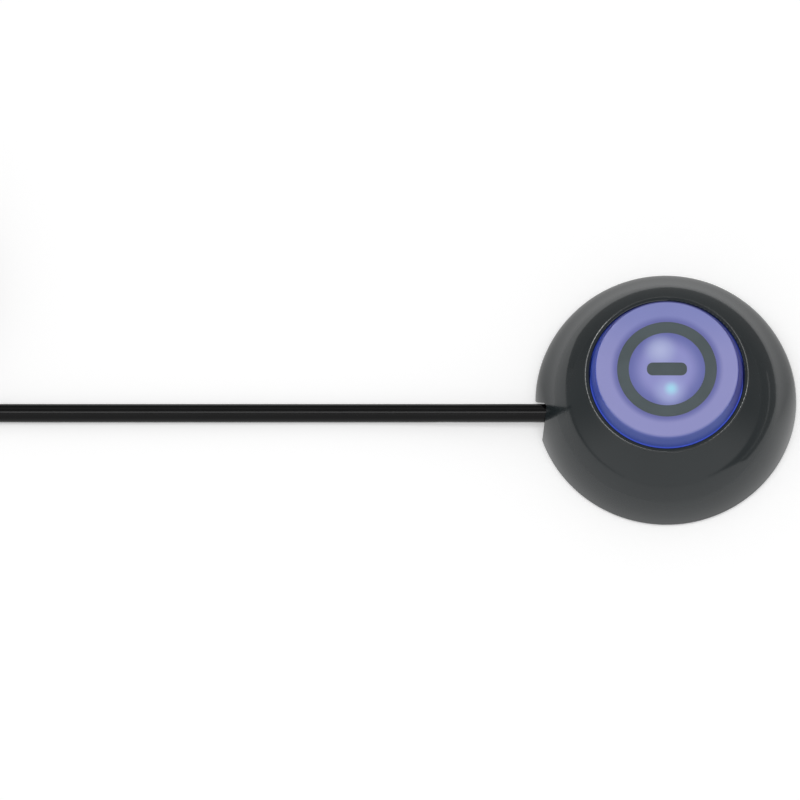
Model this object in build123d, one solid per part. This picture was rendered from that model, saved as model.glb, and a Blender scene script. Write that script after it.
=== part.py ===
from build123d import *
import math
import os

# Corded push switch: a low dome with a lit button, on a flat base with three feet.
# Millimetres. +Z up, origin on the table under the centre of the body, cord towards -X.

# Dome
BODY_RADIUS = 35.0  # flat rim, the widest circle
FOOT_PROUD = 0.8  # the feet hold the rim this far off the table
DOME_DROP = 5.9  # the dome is a cap of a ball whose centre lies this far under the rim
DOME_WALL = 2.2
RIM_WALL = 2.1  # left of the rim where the base plate is let in
RIM_ROUNDING = 0.2

# Button opening
BUTTON_RADIUS = 20.4
BUTTON_GAP = 0.25  # all round the button
LIP_WIDTH = 1.35
LIP_RISE = 0.5  # the lip stands this far out of the dome
LIP_ROUNDING = 0.4
COLLAR_WALL = 1.6
COLLAR_DEPTH = 6.7  # from the lip's top down

# Notch in the rim where the cord leaves
NOTCH_BACK_Y = -0.3
NOTCH_FRONT_Y = -11.2
NOTCH_DEPTH = 3.1  # in from the rim
NOTCH_LEAN = 20  # degrees that its back wall overhangs the cord
NOTCH_WALL = 2.0
NOTCH_OPEN = 5.0  # how far its plan runs out past the rim
NOTCH_INNER_ROUNDING = 1.1
NOTCH_OUTER_ROUNDING = 0.5

# Base plate, its feet and the screws that hold the dome on
BASE_RECESS = 0.2  # the plate lies this far inside the rim
BASE_THICK = 2.2
BASE_GAP = 0.2
FOOT_RADIUS = 4.5
FOOT_LET_IN = 0.5
FOOT_INSET = 11.0  # from the rim to a foot's middle
FOOT_CHAMFER = 0.3
FOOT_ANGLES = (30, 150, 270)
HOUSING_SCREW_INSET = 7.5  # from the rim to a screw's middle
HOUSING_SCREW_ANGLES = (0, 120, 240)
HOUSING_SCREW_LENGTH = 7.0
HOUSING_SCREW_CORE = 1.2
HOUSING_SCREW_HEAD = 2.6
HOUSING_SCREW_HEAD_THICK = 1.2
BOSS_RADIUS = 3.0
SCREW_GAP = 0.05  # thread core to its hole
HEAD_GAP = 0.3  # screw head to its counterbore, shank to its clear hole
SCREW_TIP_GAP = 0.2  # from a screw's tip to the end of its hole
HOUSING_SCREW_TIP_GAP = 1.0
CROSS_REACH = 0.6  # arm of a screw's cross, as a share of its head
CROSS_WIDTH = 0.5
SMALL_SCREW_CORE = 0.9  # the screws of the clamp and of the board
SMALL_SCREW_HEAD = 1.8
SMALL_SCREW_HEAD_THICK = 1.1

# Cord and its clamp
CORD_DIAMETER = 5.0
CORD_EXIT_Y = -4.84
CORD_EXIT_Z = 5.0
CORD_HOLE_GAP = 0.3
CORD_SEAT_GAP = 0.1
CORD_JOIN_DEPTH = 2.9  # from the notch's wall to where the jacket inside begins
CORD_TAIL_REACH = 1.0  # past the clamp
CLAMP_WIDTH = 5.0
CLAMP_SPAN = 15.0
CLAMP_ROUNDING = 1.0
CLAMP_BOARD_GAP = 2.0
CLAMP_SEAT_RISE = 1.4  # the saddle block under the clamp
SADDLE_MARGIN = 1.0  # the saddle is this much longer than the clamp, each end
CLAMP_ROOF = 1.3  # over the cord
CLAMP_SCREW_OFFSET = 5.2
CLAMP_SCREW_LENGTH = 6.0
LEAD_RADIUS = 0.55
LEAD_PITCH = 1.3

# Circuit board and what stands on it
BOARD_RADIUS = 17.0
BOARD_THICK = 1.6
POST_RADIUS = 2.5
POST_CIRCLE = 14.0
POST_ANGLES = (0, 120, 240)
BOARD_SCREW_LENGTH = 4.4
SWITCH_SIDE = 8.5
SWITCH_HEIGHT = 7.6
SWITCH_FLOOR = 1.2
SWITCH_ROOF = 1.0
SWITCH_CHAMBER = 5.2
SWITCH_CHAMFER = 0.5
SWITCH_PIN_RADIUS = 0.4
SWITCH_PIN_GAP = 0.1
SWITCH_PIN_LENGTH = 2.4
SWITCH_PIN_X = 3.0
SWITCH_PIN_PITCH = 2.5
STEM_SIDE = 3.0
STEM_FLANGE = 4.6
STEM_FLANGE_THICK = 1.0
STEM_NECK_GAP = 0.2
STEM_STOP_GAP = 0.3
LED_LENGTH = 3.5
LED_WIDTH = 2.8
LED_HEIGHT = 1.9
LED_X = 1.75
LED_Y = 6.2
LED_CHAMFER = 0.2
RESISTOR_LENGTH = 3.2
RESISTOR_WIDTH = 1.6
RESISTOR_HEIGHT = 0.6
RESISTOR_CIRCLE = 14.0
RESISTOR_ANGLES = (60, 300)
SOCKET_LENGTH = 5.0
SOCKET_WIDTH = 8.0
SOCKET_UNDER = 0.45  # of its wall left under the leads
SOCKET_CHAMFER = 0.4
SOCKET_GAP = 6.0  # bare leads between the jacket's end and the socket

# Button
TRAVEL = 2.5
TRAVEL_REST = 0.3  # left under the button at the end of its travel
BUTTON_DRAFT = 1.2  # the face is this much smaller than the skirt
BUTTON_SKIRT = 4.7  # below the lip's top
BUTTON_SIDE_RISE = 4.2  # from the lip's top to the edge of the face
BUTTON_CROWN = 0.5
BUTTON_WALL = 1.5
BUTTON_EDGE_ROUNDING = 0.6
SYMBOL_RING_OUTER = 13.3
SYMBOL_RING_INNER = 10.2
SYMBOL_BAR_LENGTH = 10.7
SYMBOL_BAR_WIDTH = 3.6
SYMBOL_BAR_ROUNDING = 1.6
SYMBOL_DEPTH = 0.6
SYMBOL_GAP = 0.03
CARRIER_THICK = 1.6
CARRIER_WALL = 1.6
CARRIER_GAP = 0.1
CARRIER_SET_BACK = 0.45  # from the skirt's edge up to the carrier's underside
CARRIER_RIM_RISE = 4.0
HUB_RADIUS = 3.5
HUB_ROOF = 1.0
STEM_IN_HUB = 3.0
HUB_GAP = 0.05
LIGHT_HOLE_RADIUS = 2.4
HOOK_ANGLES = (90, 210, 330)
HOOK_ARC = 30
HOOK_REACH = 1.1  # under the collar
HOOK_THICK = 1.3
HOOK_GAP = 0.3
SPRING_RADIUS = 10.2
SPRING_WIRE = 0.8
SPRING_TURNS = 5

# Free cord outside the housing: a straight lie on the table, then a put-away coil
BEND_SHARE = 0.45  # of the shorter line beside a corner that its bend takes up
CORD_DROP_TO_DRIFT = 3.0  # it comes down this much for each 1 that it drifts back
COIL_X = -221.0
COIL_OUTER_TURN = 35.0
COIL_INNER_TURN = 18.0
COIL_LAYERS = 3
COIL_ROUNDING = 2.0
COIL_RAMP_ARC = 40
PAST = 1.0  # how far a cut runs past what it cuts
CORD_END_LENGTH = 10.0

# Plug on the far end
BOOT_LENGTH = 10.0
BOOT_RADIUS = 3.6
BOOT_TIP_RADIUS = 2.9
PLUG_BODY_LENGTH = 16.0
PLUG_BODY_RADIUS = 4.25
PLUG_BODY_ROUNDING = 0.8
PIN_RADIUS = 1.75
PIN_SLEEVE = 6.4
PIN_INSULATOR = 0.7
PIN_RING = 2.3
PIN_TIP = 3.9
PIN_NECK_AT = 0.9  # from the tip's start
PIN_NECK_RADIUS = 1.25
PIN_BULGE_AT = 2.1
PIN_BULGE_RADIUS = 1.65
PIN_POINT_RADIUS = 0.6

# Heights that follow from the sizes above
RIM_Z = FOOT_PROUD
DOME_Z = RIM_Z - DOME_DROP
DOME_RADIUS = math.hypot(BODY_RADIUS, DOME_DROP)
NOTCH_BACK_X = NOTCH_DEPTH - BODY_RADIUS
NOTCH_SLOPE = math.tan(math.radians(NOTCH_LEAN))
FOOT_CIRCLE = BODY_RADIUS - FOOT_INSET
HOUSING_SCREW_CIRCLE = BODY_RADIUS - HOUSING_SCREW_INSET
OPENING_RADIUS = BUTTON_RADIUS + BUTTON_GAP
LIP_RADIUS = OPENING_RADIUS + LIP_WIDTH
LIP_Z = DOME_Z + math.sqrt(DOME_RADIUS**2 - LIP_RADIUS**2) + LIP_RISE
COLLAR_Z = LIP_Z - COLLAR_DEPTH
BASE_Z = RIM_Z + BASE_RECESS
BASE_TOP = BASE_Z + BASE_THICK
CORD_RADIUS = CORD_DIAMETER / 2
CLAMP_SEAT_Z = BASE_TOP + CLAMP_SEAT_RISE
CLAMP_TOP = CORD_EXIT_Z + CORD_RADIUS + CLAMP_ROOF
CLAMP_X = -BOARD_RADIUS - CLAMP_BOARD_GAP - CLAMP_WIDTH / 2
CORD_JOIN_X = NOTCH_BACK_X + CORD_JOIN_DEPTH
CORD_TAIL_END = CLAMP_X + CLAMP_WIDTH / 2 + CORD_TAIL_REACH
# The works hang down from the button, so that a taller dome has longer posts under its board.
CARRIER_Z = LIP_Z - BUTTON_SKIRT + CARRIER_SET_BACK
SWITCH_TOP = CARRIER_Z - TRAVEL_REST - TRAVEL
BOARD_TOP = SWITCH_TOP - SWITCH_HEIGHT
BOARD_Z = BOARD_TOP - BOARD_THICK
STEM_TOP = CARRIER_Z + STEM_IN_HUB
SKIRT_RADIUS = BUTTON_RADIUS - BUTTON_WALL - CARRIER_GAP
BUTTON_TOP_RADIUS = BUTTON_RADIUS - BUTTON_DRAFT
BUTTON_EDGE_Z = LIP_Z + BUTTON_SIDE_RISE
CORD_TABLE_Z = CORD_RADIUS
# Seen from above and in front, the cord stays one straight line as it comes down to the table.
CORD_TABLE_Y = CORD_EXIT_Y + (CORD_EXIT_Z - CORD_TABLE_Z) / CORD_DROP_TO_DRIFT
COIL_Y = CORD_TABLE_Y + COIL_OUTER_TURN
COIL_HEIGHT = COIL_LAYERS * CORD_DIAMETER
PLUG_Y = COIL_Y - COIL_INNER_TURN
PLUG_Z = COIL_HEIGHT + PLUG_BODY_RADIUS
ABOVE_ALL = 60.0

SEATED = (Align.CENTER, Align.CENTER, Align.MIN)


def disc(radius, low, high, x=0.0, y=0.0):
    """Upright cylinder between two heights."""
    return Pos(x, y, low) * Cylinder(radius, high - low, align=SEATED)


def ring(inner, outer, low, high):
    return disc(outer, low, high) - disc(inner, low, high)


def block(x_range, y_range, z_range):
    """Box between two corners."""
    sides = [high - low for low, high in (x_range, y_range, z_range)]
    middle = [(high + low) / 2 for low, high in (x_range, y_range, z_range)]
    return Pos(*middle) * Box(*sides)


def rod_x(radius, x_range, y, z):
    """Cylinder lying along X."""
    length = x_range[1] - x_range[0]
    return Pos(sum(x_range) / 2, y, z) * Rot(0, 90, 0) * Cylinder(radius, length)


def around(radius, angles):
    """Places on a circle about the Z axis."""
    return [(radius * math.cos(math.radians(a)), radius * math.sin(math.radians(a))) for a in angles]


def sector(radii, heights, middle_angle, arc):
    """Part of a ring, symmetric about one angle."""
    inner, outer = radii
    low, high = heights
    outline = Polyline((inner, low), (outer, low), (outer, high), (inner, high), close=True)
    face = make_face(Plane.XZ * outline)
    return Rot(0, 0, middle_angle - arc / 2) * revolve(face, Axis.Z, revolution_arc=arc)


def together(solids):
    """Group of separate solids that share one node."""
    return Compound(children=list(solids))


def save(name, shape):
    export_step(shape, f"parts/{name}.step")


def notch_face(rounding):
    """Plan of the bite out of the rim: a back wall across, and a slanting wall beside the cord."""
    front_x = -math.sqrt(BODY_RADIUS**2 - NOTCH_FRONT_Y**2)
    outside = -BODY_RADIUS - NOTCH_OPEN
    mouth = Line((outside, NOTCH_BACK_Y + rounding), (-BODY_RADIUS, NOTCH_BACK_Y + rounding))
    if rounding > 0:
        mouth += RadiusArc(mouth @ 1, (rounding - BODY_RADIUS, NOTCH_BACK_Y), -rounding)
    walls = Polyline(
        mouth @ 1,
        (NOTCH_BACK_X, NOTCH_BACK_Y),
        (front_x, NOTCH_FRONT_Y),
        (outside, NOTCH_FRONT_Y),
        mouth @ 0,
    )
    return make_face(mouth + walls)


def leaning(face):
    """Raise a plan that is true at the rim, leaning forward over the cord as it rises."""
    raised = extrude(face, amount=ABOVE_ALL / math.cos(math.radians(NOTCH_LEAN)), dir=(0, -NOTCH_SLOPE, 1))
    return Pos(0, NOTCH_SLOPE * RIM_Z, 0) * raised


def notch_solid():
    """The bite itself, with a rounded mouth and a rounded inner corner."""
    face = notch_face(NOTCH_OUTER_ROUNDING)
    inner_corner = face.vertices().sort_by(Axis.X)[-1]
    return leaning(fillet(inner_corner, NOTCH_INNER_ROUNDING))


def around_notch(grow):
    """The bite grown by a wall's thickness, for what has to follow it."""
    return leaning(offset(notch_face(0), amount=grow))


def dome_solid(radius):
    """Cap of the dome's ball above the rim plane."""
    ball = Pos(0, 0, DOME_Z) * Sphere(radius)
    return ball & disc(radius + PAST, RIM_Z, ABOVE_ALL)


def cord_way(gap, x_range):
    return rod_x(CORD_RADIUS + gap, x_range, CORD_EXIT_Y, CORD_EXIT_Z)


def on_ball(ball_radius, radius):
    """Height of a ball about the dome's centre at a distance from the axis."""
    return DOME_Z + math.sqrt(ball_radius**2 - radius**2)


def ball_arc(ball_radius, start_radius, end_radius):
    """Arc of a ball's outline between two distances from the axis."""
    middle = (start_radius + end_radius) / 2
    places = [(r, on_ball(ball_radius, r)) for r in (start_radius, middle, end_radius)]
    return ThreePointArc(*places)


def cord_arch(gap, x_range):
    """Arch over the cord, open at the bottom, so that the dome drops over cord and base."""
    half = CORD_RADIUS + gap
    legs = Polyline((half, 0), (half, -CORD_EXIT_Z), (-half, -CORD_EXIT_Z), (-half, 0))
    face = make_face(legs + ThreePointArc((-half, 0), (0, half), (half, 0)))
    end = Plane(origin=(x_range[0], CORD_EXIT_Y, CORD_EXIT_Z), x_dir=(0, 1, 0), z_dir=(1, 0, 0))
    return extrude(end * face, amount=x_range[1] - x_range[0])


def shell_profile():
    """Half section of the dome with its lip, the collar under it and the seat for the base plate."""
    inner_ball = DOME_RADIUS - DOME_WALL
    collar_radius = OPENING_RADIUS + COLLAR_WALL
    seat_radius = BODY_RADIUS - RIM_WALL
    inner_foot = math.sqrt(inner_ball**2 - (BASE_TOP - DOME_Z) ** 2)
    lip_foot = (LIP_RADIUS, on_ball(DOME_RADIUS, LIP_RADIUS))
    collar_foot = (collar_radius, on_ball(inner_ball, collar_radius))
    neck = Polyline(
        lip_foot,
        (LIP_RADIUS, LIP_Z),
        (OPENING_RADIUS, LIP_Z),
        (OPENING_RADIUS, COLLAR_Z),
        (collar_radius, COLLAR_Z),
        collar_foot,
    )
    rim = Polyline(
        (inner_foot, BASE_TOP),
        (seat_radius, BASE_TOP),
        (seat_radius, RIM_Z),
        (BODY_RADIUS, RIM_Z),
    )
    outer = ball_arc(DOME_RADIUS, BODY_RADIUS, LIP_RADIUS)
    inner = ball_arc(inner_ball, collar_radius, inner_foot)
    face = make_face(outer + neck + inner + rim)
    lip_corners = face.vertices().group_by(Axis.Y)[-1]
    face = fillet(lip_corners, LIP_ROUNDING)
    rim_corner = face.vertices().sort_by(Axis.X)[-1]
    return fillet(rim_corner, RIM_ROUNDING)


def top_shell():
    shell = revolve(Plane.XZ * shell_profile(), Axis.Z)
    under_dome = dome_solid(DOME_RADIUS - DOME_WALL / 2)
    shell = shell + (around_notch(NOTCH_WALL) & under_dome)
    for x, y in around(HOUSING_SCREW_CIRCLE, HOUSING_SCREW_ANGLES):
        shell = shell + (disc(BOSS_RADIUS, BASE_TOP, ABOVE_ALL, x, y) & under_dome)
    for x, y in around(HOUSING_SCREW_CIRCLE, HOUSING_SCREW_ANGLES):
        hole_top = BASE_TOP + HOUSING_SCREW_LENGTH
        shell = shell - disc(HOUSING_SCREW_CORE + SCREW_GAP, BASE_TOP, hole_top, x, y)
    shell = shell - notch_solid()
    return shell - cord_arch(CORD_HOLE_GAP, (-BODY_RADIUS, NOTCH_BACK_X + NOTCH_WALL + PAST))


def clamp_plan(margin):
    """Ranges in X and Y under the cord's clamp, longer along the cord by a margin."""
    half_x = CLAMP_WIDTH / 2 + margin
    half_y = CLAMP_SPAN / 2
    return (CLAMP_X - half_x, CLAMP_X + half_x), (CORD_EXIT_Y - half_y, CORD_EXIT_Y + half_y)


def clamp_screw_places():
    return [(CLAMP_X, CORD_EXIT_Y - CLAMP_SCREW_OFFSET), (CLAMP_X, CORD_EXIT_Y + CLAMP_SCREW_OFFSET)]


def base_plate():
    radius = BODY_RADIUS - RIM_WALL - BASE_GAP
    plate = disc(radius, BASE_Z, BASE_TOP) - around_notch(NOTCH_WALL + BASE_GAP)
    tab_half = CORD_RADIUS + CORD_HOLE_GAP - BASE_GAP
    tab_y = (CORD_EXIT_Y - tab_half, CORD_EXIT_Y + tab_half)
    tab = block((-BODY_RADIUS, CORD_JOIN_X), tab_y, (BASE_Z, BASE_TOP)) - notch_solid()
    plate = plate + tab + block(*clamp_plan(SADDLE_MARGIN), (BASE_Z, CLAMP_SEAT_Z))
    for x, y in around(POST_CIRCLE, POST_ANGLES):
        plate = plate + disc(POST_RADIUS, BASE_Z, BOARD_Z, x, y)
    for x, y in around(POST_CIRCLE, POST_ANGLES):
        low = BOARD_TOP - BOARD_SCREW_LENGTH
        plate = plate - disc(SMALL_SCREW_CORE + SCREW_GAP, low, BOARD_Z, x, y)
    for x, y in around(FOOT_CIRCLE, FOOT_ANGLES):
        plate = plate - disc(FOOT_RADIUS + SCREW_GAP, BASE_Z, BASE_Z + FOOT_LET_IN, x, y)
    for x, y in around(HOUSING_SCREW_CIRCLE, HOUSING_SCREW_ANGLES):
        head_top = BASE_Z + HOUSING_SCREW_HEAD_THICK
        plate = plate - disc(HOUSING_SCREW_HEAD + HEAD_GAP, BASE_Z, head_top, x, y)
        plate = plate - disc(HOUSING_SCREW_CORE + HEAD_GAP, BASE_Z, BASE_TOP, x, y)
    for x, y in clamp_screw_places():
        low = CLAMP_TOP - CLAMP_SCREW_LENGTH
        plate = plate - disc(SMALL_SCREW_CORE + SCREW_GAP, low, CLAMP_SEAT_Z, x, y)
    return plate - cord_way(CORD_SEAT_GAP, (-BODY_RADIUS, CORD_TAIL_END + PAST))


def pan_screw(sizes, length, seat, up=False):
    """Pan head screw seated at a point, its core running down, or up from a head below."""
    core, head, thick = sizes
    reach = head * CROSS_REACH
    shank = disc(core, 0, length) + disc(head, -thick, 0)
    arm = block((-reach, reach), (-CROSS_WIDTH / 2, CROSS_WIDTH / 2), (-thick, -thick / 2))
    screw = shank - arm - Rot(0, 0, 90) * arm
    return Pos(*seat) * Rot(0 if up else 180, 0, 0) * screw


def housing_screws():
    sizes = (HOUSING_SCREW_CORE, HOUSING_SCREW_HEAD, HOUSING_SCREW_HEAD_THICK)
    seat = BASE_Z + HOUSING_SCREW_HEAD_THICK
    length = BASE_TOP + HOUSING_SCREW_LENGTH - HOUSING_SCREW_TIP_GAP - seat
    places = around(HOUSING_SCREW_CIRCLE, HOUSING_SCREW_ANGLES)
    return together(pan_screw(sizes, length, (x, y, seat), up=True) for x, y in places)


def small_screws(length, seat, places):
    sizes = (SMALL_SCREW_CORE, SMALL_SCREW_HEAD, SMALL_SCREW_HEAD_THICK)
    return together(pan_screw(sizes, length - SCREW_TIP_GAP, (x, y, seat)) for x, y in places)


def clamp_screws():
    return small_screws(CLAMP_SCREW_LENGTH, CLAMP_TOP, clamp_screw_places())


def board_screws():
    return small_screws(BOARD_SCREW_LENGTH, BOARD_TOP, around(POST_CIRCLE, POST_ANGLES))


def rubber_feet():
    feet = []
    for x, y in around(FOOT_CIRCLE, FOOT_ANGLES):
        foot = disc(FOOT_RADIUS, 0, BASE_Z + FOOT_LET_IN, x, y)
        low_edge = foot.edges().filter_by(GeomType.CIRCLE).group_by(Axis.Z)[0]
        feet.append(chamfer(low_edge, FOOT_CHAMFER))
    return together(feet)


def cord_clamp():
    x_range, y_range = clamp_plan(0)
    bar = block(x_range, y_range, (CLAMP_SEAT_Z, CLAMP_TOP))
    bar = fillet(bar.edges().filter_by(Axis.Z), CLAMP_ROUNDING)
    bar = bar - cord_arch(CORD_SEAT_GAP, x_range)
    for x, y in clamp_screw_places():
        bar = bar - disc(SMALL_SCREW_CORE + HEAD_GAP, 0, CLAMP_TOP, x, y)
    return bar


def cord_tail():
    """The jacket inside the housing, from the wall to where the leads come out of it."""
    return cord_way(0, (CORD_JOIN_X, CORD_TAIL_END))


def socket_x():
    near = CORD_TAIL_END + SOCKET_GAP
    return (near, near + SOCKET_LENGTH)


def lead(step):
    """One of the three insulated wires between the jacket's end and the socket."""
    y = CORD_EXIT_Y + step * LEAD_PITCH
    return rod_x(LEAD_RADIUS, (CORD_TAIL_END, socket_x()[0]), y, CORD_EXIT_Z)


def wire_socket():
    """Connector under the board that the leads are pressed into."""
    y_range = (CORD_EXIT_Y - SOCKET_WIDTH / 2, CORD_EXIT_Y + SOCKET_WIDTH / 2)
    low = CORD_EXIT_Z - LEAD_RADIUS - SOCKET_UNDER
    body = block(socket_x(), y_range, (low, BOARD_Z))
    return chamfer(body.edges().filter_by(Axis.Y).group_by(Axis.Z)[0], SOCKET_CHAMFER)


def switch_pin_places():
    steps = [step * SWITCH_PIN_PITCH for step in (-1, 0, 1)]
    return [(x, y) for x in (-SWITCH_PIN_X, SWITCH_PIN_X) for y in steps]


def circuit_board():
    board = disc(BOARD_RADIUS, BOARD_Z, BOARD_TOP)
    for x, y in around(POST_CIRCLE, POST_ANGLES):
        board = board - disc(SMALL_SCREW_CORE + HEAD_GAP, BOARD_Z, BOARD_TOP, x, y)
    for x, y in switch_pin_places():
        board = board - disc(SWITCH_PIN_RADIUS + SWITCH_PIN_GAP, BOARD_Z, BOARD_TOP, x, y)
    return board


def square(side, low, high):
    return block((-side / 2, side / 2), (-side / 2, side / 2), (low, high))


def switch_body():
    body = square(SWITCH_SIDE, BOARD_TOP, SWITCH_TOP)
    body = chamfer(body.edges().filter_by(Axis.Z), SWITCH_CHAMFER)
    chamber = square(SWITCH_CHAMBER, BOARD_TOP + SWITCH_FLOOR, SWITCH_TOP - SWITCH_ROOF)
    neck = square(STEM_SIDE + 2 * STEM_NECK_GAP, SWITCH_TOP - SWITCH_ROOF, SWITCH_TOP)
    return body - chamber - neck


def switch_pins():
    low = BOARD_TOP - SWITCH_PIN_LENGTH
    return together(disc(SWITCH_PIN_RADIUS, low, BOARD_TOP, x, y) for x, y in switch_pin_places())


def switch_stem():
    flange_top = SWITCH_TOP - SWITCH_ROOF - STEM_STOP_GAP
    flange = square(STEM_FLANGE, flange_top - STEM_FLANGE_THICK, flange_top)
    return flange + square(STEM_SIDE, flange_top - STEM_FLANGE_THICK, STEM_TOP)


def led_places():
    return [(-LED_X, LED_Y), (LED_X, -LED_Y)]


def leds():
    lamps = []
    for x, y in led_places():
        x_range = (x - LED_LENGTH / 2, x + LED_LENGTH / 2)
        y_range = (y - LED_WIDTH / 2, y + LED_WIDTH / 2)
        case = block(x_range, y_range, (BOARD_TOP, BOARD_TOP + LED_HEIGHT))
        lamps.append(chamfer(case.edges().group_by(Axis.Z)[-1], LED_CHAMFER))
    return together(lamps)


def resistors():
    chips = []
    for x, y in around(RESISTOR_CIRCLE, RESISTOR_ANGLES):
        x_range = (x - RESISTOR_LENGTH / 2, x + RESISTOR_LENGTH / 2)
        y_range = (y - RESISTOR_WIDTH / 2, y + RESISTOR_WIDTH / 2)
        chips.append(block(x_range, y_range, (BOARD_TOP, BOARD_TOP + RESISTOR_HEIGHT)))
    return together(chips)


def return_spring():
    wire = SPRING_WIRE / 2
    low = BOARD_TOP + wire
    height = CARRIER_Z - wire - low
    path = Helix(pitch=height / SPRING_TURNS, height=height, radius=SPRING_RADIUS)
    section = Plane(origin=path @ 0, z_dir=path % 0) * Circle(wire)
    coil = sweep(section, path=path, is_frenet=True)
    return Pos(0, 0, low) * coil


def button_form(inset):
    """Solid outline of the button, or its hollow when inset by the wall."""
    low = LIP_Z - BUTTON_SKIRT
    side = BUTTON_RADIUS - inset
    top = BUTTON_TOP_RADIUS - inset
    edge = BUTTON_EDGE_Z - inset
    line = Polyline((0, edge + BUTTON_CROWN), (0, low), (side, low), (side, LIP_Z), (top, edge))
    crown_radius = (top**2 + BUTTON_CROWN**2) / (2 * BUTTON_CROWN)
    crown = ThreePointArc(
        (top, edge),
        (top / 2, edge + BUTTON_CROWN - crown_radius + math.sqrt(crown_radius**2 - (top / 2) ** 2)),
        (0, edge + BUTTON_CROWN),
    )
    face = make_face(line + crown)
    if inset == 0:
        face = fillet(face.vertices().sort_by(Axis.Y)[-2], BUTTON_EDGE_ROUNDING)
    return revolve(Plane.XZ * face, Axis.Z)


def crown_height(radius):
    """Height of the button's face at a distance from its centre."""
    crown_radius = (BUTTON_TOP_RADIUS**2 + BUTTON_CROWN**2) / (2 * BUTTON_CROWN)
    top = BUTTON_EDGE_Z + BUTTON_CROWN
    return top - crown_radius + math.sqrt(crown_radius**2 - radius**2)


def symbol_ring_form(gap):
    floor = crown_height(SYMBOL_RING_OUTER) - SYMBOL_DEPTH
    return ring(SYMBOL_RING_INNER - gap, SYMBOL_RING_OUTER + gap, floor, ABOVE_ALL)


def symbol_bar_form(gap):
    floor = crown_height(SYMBOL_BAR_LENGTH / 2) - SYMBOL_DEPTH
    plan = RectangleRounded(
        SYMBOL_BAR_LENGTH + 2 * gap, SYMBOL_BAR_WIDTH + 2 * gap, SYMBOL_BAR_ROUNDING + gap
    )
    return Pos(0, 0, floor) * extrude(plan, amount=ABOVE_ALL)


def button_cap():
    cap = button_form(0) - button_form(BUTTON_WALL)
    return cap - symbol_ring_form(SYMBOL_GAP) - symbol_bar_form(SYMBOL_GAP)


def button_carrier():
    plate = disc(SKIRT_RADIUS, CARRIER_Z, CARRIER_Z + CARRIER_THICK)
    inner = SKIRT_RADIUS - CARRIER_WALL
    carrier = plate + ring(inner, SKIRT_RADIUS, CARRIER_Z, CARRIER_Z + CARRIER_RIM_RISE)
    carrier = carrier + disc(HUB_RADIUS, CARRIER_Z, STEM_TOP + HUB_ROOF)
    nose_top = COLLAR_Z - HOOK_GAP
    nose_low = nose_top - HOOK_THICK
    for angle in HOOK_ANGLES:
        leg = sector((inner, SKIRT_RADIUS), (nose_low, CARRIER_Z), angle, HOOK_ARC)
        nose = sector((inner, OPENING_RADIUS + HOOK_REACH), (nose_low, nose_top), angle, HOOK_ARC)
        carrier = carrier + leg + nose
    carrier = carrier - square(STEM_SIDE + 2 * HUB_GAP, CARRIER_Z, STEM_TOP + HUB_GAP)
    for x, y in led_places():
        carrier = carrier - disc(LIGHT_HOLE_RADIUS, CARRIER_Z, CARRIER_Z + CARRIER_THICK, x, y)
    return carrier


def cord_run():
    """The free cord from the housing to the coil: out level, gently down, then straight on the table."""
    route = [
        (CORD_JOIN_X, CORD_EXIT_Y, CORD_EXIT_Z),
        (-44.0, CORD_EXIT_Y, CORD_EXIT_Z),
        (-76.0, CORD_TABLE_Y, CORD_TABLE_Z),
        (COIL_X, CORD_TABLE_Y, CORD_TABLE_Z),
    ]
    points = [Vector(*p) for p in route]
    runs = [b - a for a, b in zip(points, points[1:])]
    radii = []
    for before, after in zip(runs, runs[1:]):
        turn = math.radians(before.get_angle(after))
        radii.append(BEND_SHARE * min(before.length, after.length) / math.tan(turn / 2))
    print("cord bend radii, mm:", [round(r, 1) for r in radii])
    path = FilletPolyline(*points, radius=radii)
    tube = sweep(Plane(origin=path @ 0, z_dir=path % 0) * Circle(CORD_RADIUS), path=path)
    plain_volume = path.length * math.pi * CORD_RADIUS**2
    print("cord run volume over section times length:", tube.volume / plain_volume)
    return tube


def cord_coil():
    """Outer shape of the coil, with a slot where the cord comes in and a rise where it leaves."""
    outer = COIL_OUTER_TURN + CORD_RADIUS
    inner = COIL_INNER_TURN - CORD_RADIUS
    body = ring(inner, outer, 0, COIL_HEIGHT)
    body = fillet(body.edges().filter_by(GeomType.CIRCLE), COIL_ROUNDING)
    ramp_top = PLUG_Z + CORD_RADIUS
    ramp_radii = (inner, COIL_INNER_TURN + CORD_RADIUS)
    ramp = sector(ramp_radii, (COIL_HEIGHT / 2, ramp_top), COIL_RAMP_ARC / 2 - 90, COIL_RAMP_ARC)
    entry_y = (-outer - PAST, -COIL_OUTER_TURN + CORD_RADIUS + CORD_SEAT_GAP)
    entry = block((0, outer), entry_y, (-PAST, CORD_DIAMETER + CORD_SEAT_GAP))
    return Pos(COIL_X, COIL_Y, 0) * (body + ramp - entry)


def lying(profile):
    """Turn a profile of (distance from the coil's middle towards -X, radius) points into a round piece."""
    start, end = profile[0][0], profile[-1][0]
    face = make_face(Plane.XY * Polyline(*profile, (end, 0), (start, 0), close=True))
    return Pos(COIL_X, PLUG_Y, PLUG_Z) * Rot(0, 0, 180) * revolve(face, Axis.X)


BOOT_START = CORD_END_LENGTH
BODY_START = BOOT_START + BOOT_LENGTH
PIN_START = BODY_START + PLUG_BODY_LENGTH
FIRST_INSULATOR = PIN_START + PIN_SLEEVE
RING_START = FIRST_INSULATOR + PIN_INSULATOR
SECOND_INSULATOR = RING_START + PIN_RING
TIP_START = SECOND_INSULATOR + PIN_INSULATOR


def cord_end():
    """The last of the cord, level with the plug that lies on the coil."""
    return lying([(0, CORD_RADIUS), (BOOT_START, CORD_RADIUS)])


def plug_boot():
    return lying([(BOOT_START, BOOT_TIP_RADIUS), (BODY_START, BOOT_RADIUS)])


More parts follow.
